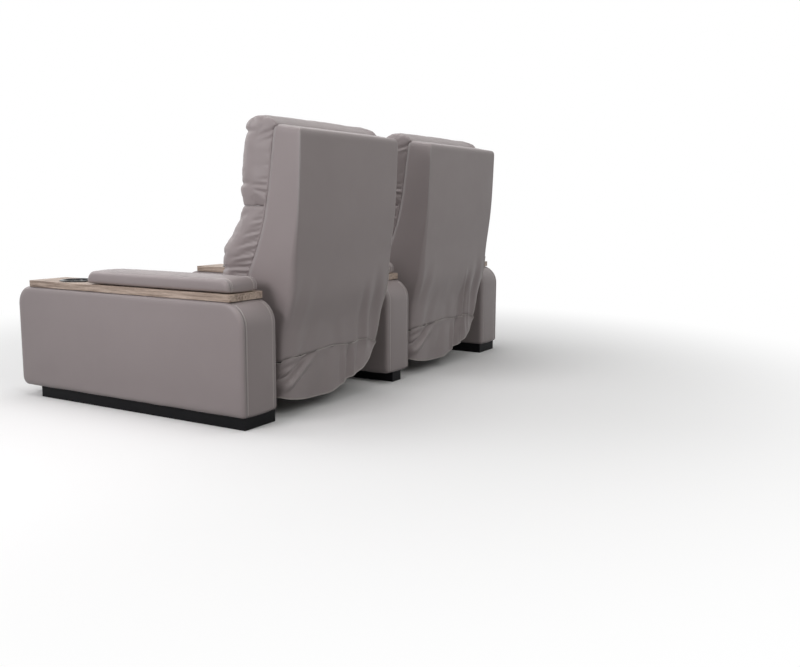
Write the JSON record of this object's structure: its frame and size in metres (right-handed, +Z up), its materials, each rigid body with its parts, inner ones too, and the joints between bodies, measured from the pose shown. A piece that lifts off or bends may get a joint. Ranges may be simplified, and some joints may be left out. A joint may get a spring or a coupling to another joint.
{
  "type": "cinema recliner seat",
  "caption": "Joined home-cinema recliner with two padded seats, shared centre arm, cup-holder trays and power recline.",
  "frame": {"origin": "On the floor under the middle of the centre arm, at the centre of the four floor anchor holes.", "axes": "+Z up, the seats face -Y, +X is the sitter's left along the row of seats."},
  "size_m": [1.792, 1.0909, 0.9333],
  "materials": {
    "upholstery": "soft grey-taupe leatherette with fine grain and low sheen",
    "upholstery_band": "the same leatherette, boxed round the arm",
    "oak_laminate": "pale greyed oak board, satin",
    "gloss_black": "moulded, polished black",
    "matte_black": "moulded black",
    "button_grey": "satin grey key",
    "black_steel": "black powder coat",
    "bright_steel": "ground steel",
    "plywood": "birch plywood"
  },
  "bodies": {
    "base": {"base_rail_left": "black_steel", "arm_core_left": "upholstery_band", "arm_panels_left": "upholstery", "tray_left": "oak_laminate", "cup_holder_left": "gloss_black", "armrest_pad_left": "upholstery", "base_rail_centre": "black_steel", "arm_core_centre": "upholstery_band", "arm_panels_centre": "upholstery", "tray_centre": "oak_laminate", "cup_holder_centre": "gloss_black", "armrest_pad_centre": "upholstery", "base_rail_right": "black_steel", "arm_core_right": "upholstery_band", "arm_panels_right": "upholstery", "tray_right": "oak_laminate", "cup_holder_right": "gloss_black", "armrest_pad_right": "upholstery", "front_beam": "black_steel", "rear_beam": "black_steel", "power_supply": "matte_black", "guide_rails_left": "bright_steel", "actuator_motor_left": "matte_black", "control_panel_left": "gloss_black", "guide_rails_right": "bright_steel", "actuator_motor_right": "matte_black", "control_panel_right": "gloss_black"},
    "carriage_left": {"side_plates_left": "black_steel", "back_shaft_left": "bright_steel", "footrest_shaft_left": "bright_steel", "seat_deck_left": "plywood", "seat_cushion_left": "upholstery", "actuator_rod_left": "bright_steel"},
    "backrest_left": {"back_shell_left": "upholstery", "back_board_left": "plywood", "back_skirt_left": "upholstery", "head_pillow_left": "upholstery", "lumbar_pillow_left": "upholstery"},
    "footrest_link_left": {"footrest_arms_left": "black_steel"},
    "footrest_left": {"footrest_board_left": "plywood", "footrest_pad_left": "upholstery"},
    "recline_key_left": {"recline_button_left": "button_grey"},
    "raise_key_left": {"raise_button_left": "button_grey"},
    "carriage_right": {"side_plates_right": "black_steel", "back_shaft_right": "bright_steel", "footrest_shaft_right": "bright_steel", "seat_deck_right": "plywood", "seat_cushion_right": "upholstery", "actuator_rod_right": "bright_steel"},
    "backrest_right": {"back_shell_right": "upholstery", "back_board_right": "plywood", "back_skirt_right": "upholstery", "head_pillow_right": "upholstery", "lumbar_pillow_right": "upholstery"},
    "footrest_link_right": {"footrest_arms_right": "black_steel"},
    "footrest_right": {"footrest_board_right": "plywood", "footrest_pad_right": "upholstery"},
    "recline_key_right": {"recline_button_right": "button_grey"},
    "raise_key_right": {"raise_button_right": "button_grey"}
  },
  "joints": [
    {"name": "seat_slide_left", "type": "slide", "parent": "base", "child": "carriage_left", "axis": [0, -1, 0], "range_m": [0, 0.078]},
    {"name": "back_recline_left", "type": "hinge", "parent": "carriage_left", "child": "backrest_left", "pos_m": [0.408, 0.4, 0.2], "axis": [-1, 0, 0], "range_deg": [0, 30]},
    {"name": "footrest_swing_left", "type": "hinge", "parent": "carriage_left", "child": "footrest_link_left", "pos_m": [0.408, -0.44, 0.18], "axis": [-1, 0, 0], "range_deg": [0, 85]},
    {"name": "footrest_extend_left", "type": "slide", "parent": "footrest_link_left", "child": "footrest_left", "axis": [0, 0, -1], "range_m": [0, 0.1]},
    {"name": "recline_press_left", "type": "slide", "parent": "base", "child": "recline_key_left", "axis": [-1, 0, 0], "range_m": [0, 0.0015], "stiffness_N_per_m": 600},
    {"name": "raise_press_left", "type": "slide", "parent": "base", "child": "raise_key_left", "axis": [-1, 0, 0], "range_m": [0, 0.0015], "stiffness_N_per_m": 600},
    {"name": "seat_slide_right", "type": "slide", "parent": "base", "child": "carriage_right", "axis": [0, -1, 0], "range_m": [0, 0.078]},
    {"name": "back_recline_right", "type": "hinge", "parent": "carriage_right", "child": "backrest_right", "pos_m": [-0.408, 0.4, 0.2], "axis": [-1, 0, 0], "range_deg": [0, 30]},
    {"name": "footrest_swing_right", "type": "hinge", "parent": "carriage_right", "child": "footrest_link_right", "pos_m": [-0.408, -0.44, 0.18], "axis": [-1, 0, 0], "range_deg": [0, 85]},
    {"name": "footrest_extend_right", "type": "slide", "parent": "footrest_link_right", "child": "footrest_right", "axis": [0, 0, -1], "range_m": [0, 0.1]},
    {"name": "recline_press_right", "type": "slide", "parent": "base", "child": "recline_key_right", "axis": [-1, 0, 0], "range_m": [0, 0.0015], "stiffness_N_per_m": 600},
    {"name": "raise_press_right", "type": "slide", "parent": "base", "child": "raise_key_right", "axis": [-1, 0, 0], "range_m": [0, 0.0015], "stiffness_N_per_m": 600}
  ],
  "couplings": [
    {"joint": "back_recline_left", "follows": "seat_slide_left", "rad_per_m": 6.71},
    {"joint": "footrest_swing_left", "follows": "seat_slide_left", "rad_per_m": 19},
    {"joint": "footrest_extend_left", "follows": "seat_slide_left", "ratio": 1.28},
    {"joint": "back_recline_right", "follows": "seat_slide_right", "rad_per_m": 6.71},
    {"joint": "footrest_swing_right", "follows": "seat_slide_right", "rad_per_m": 19},
    {"joint": "footrest_extend_right", "follows": "seat_slide_right", "ratio": 1.28}
  ]
}
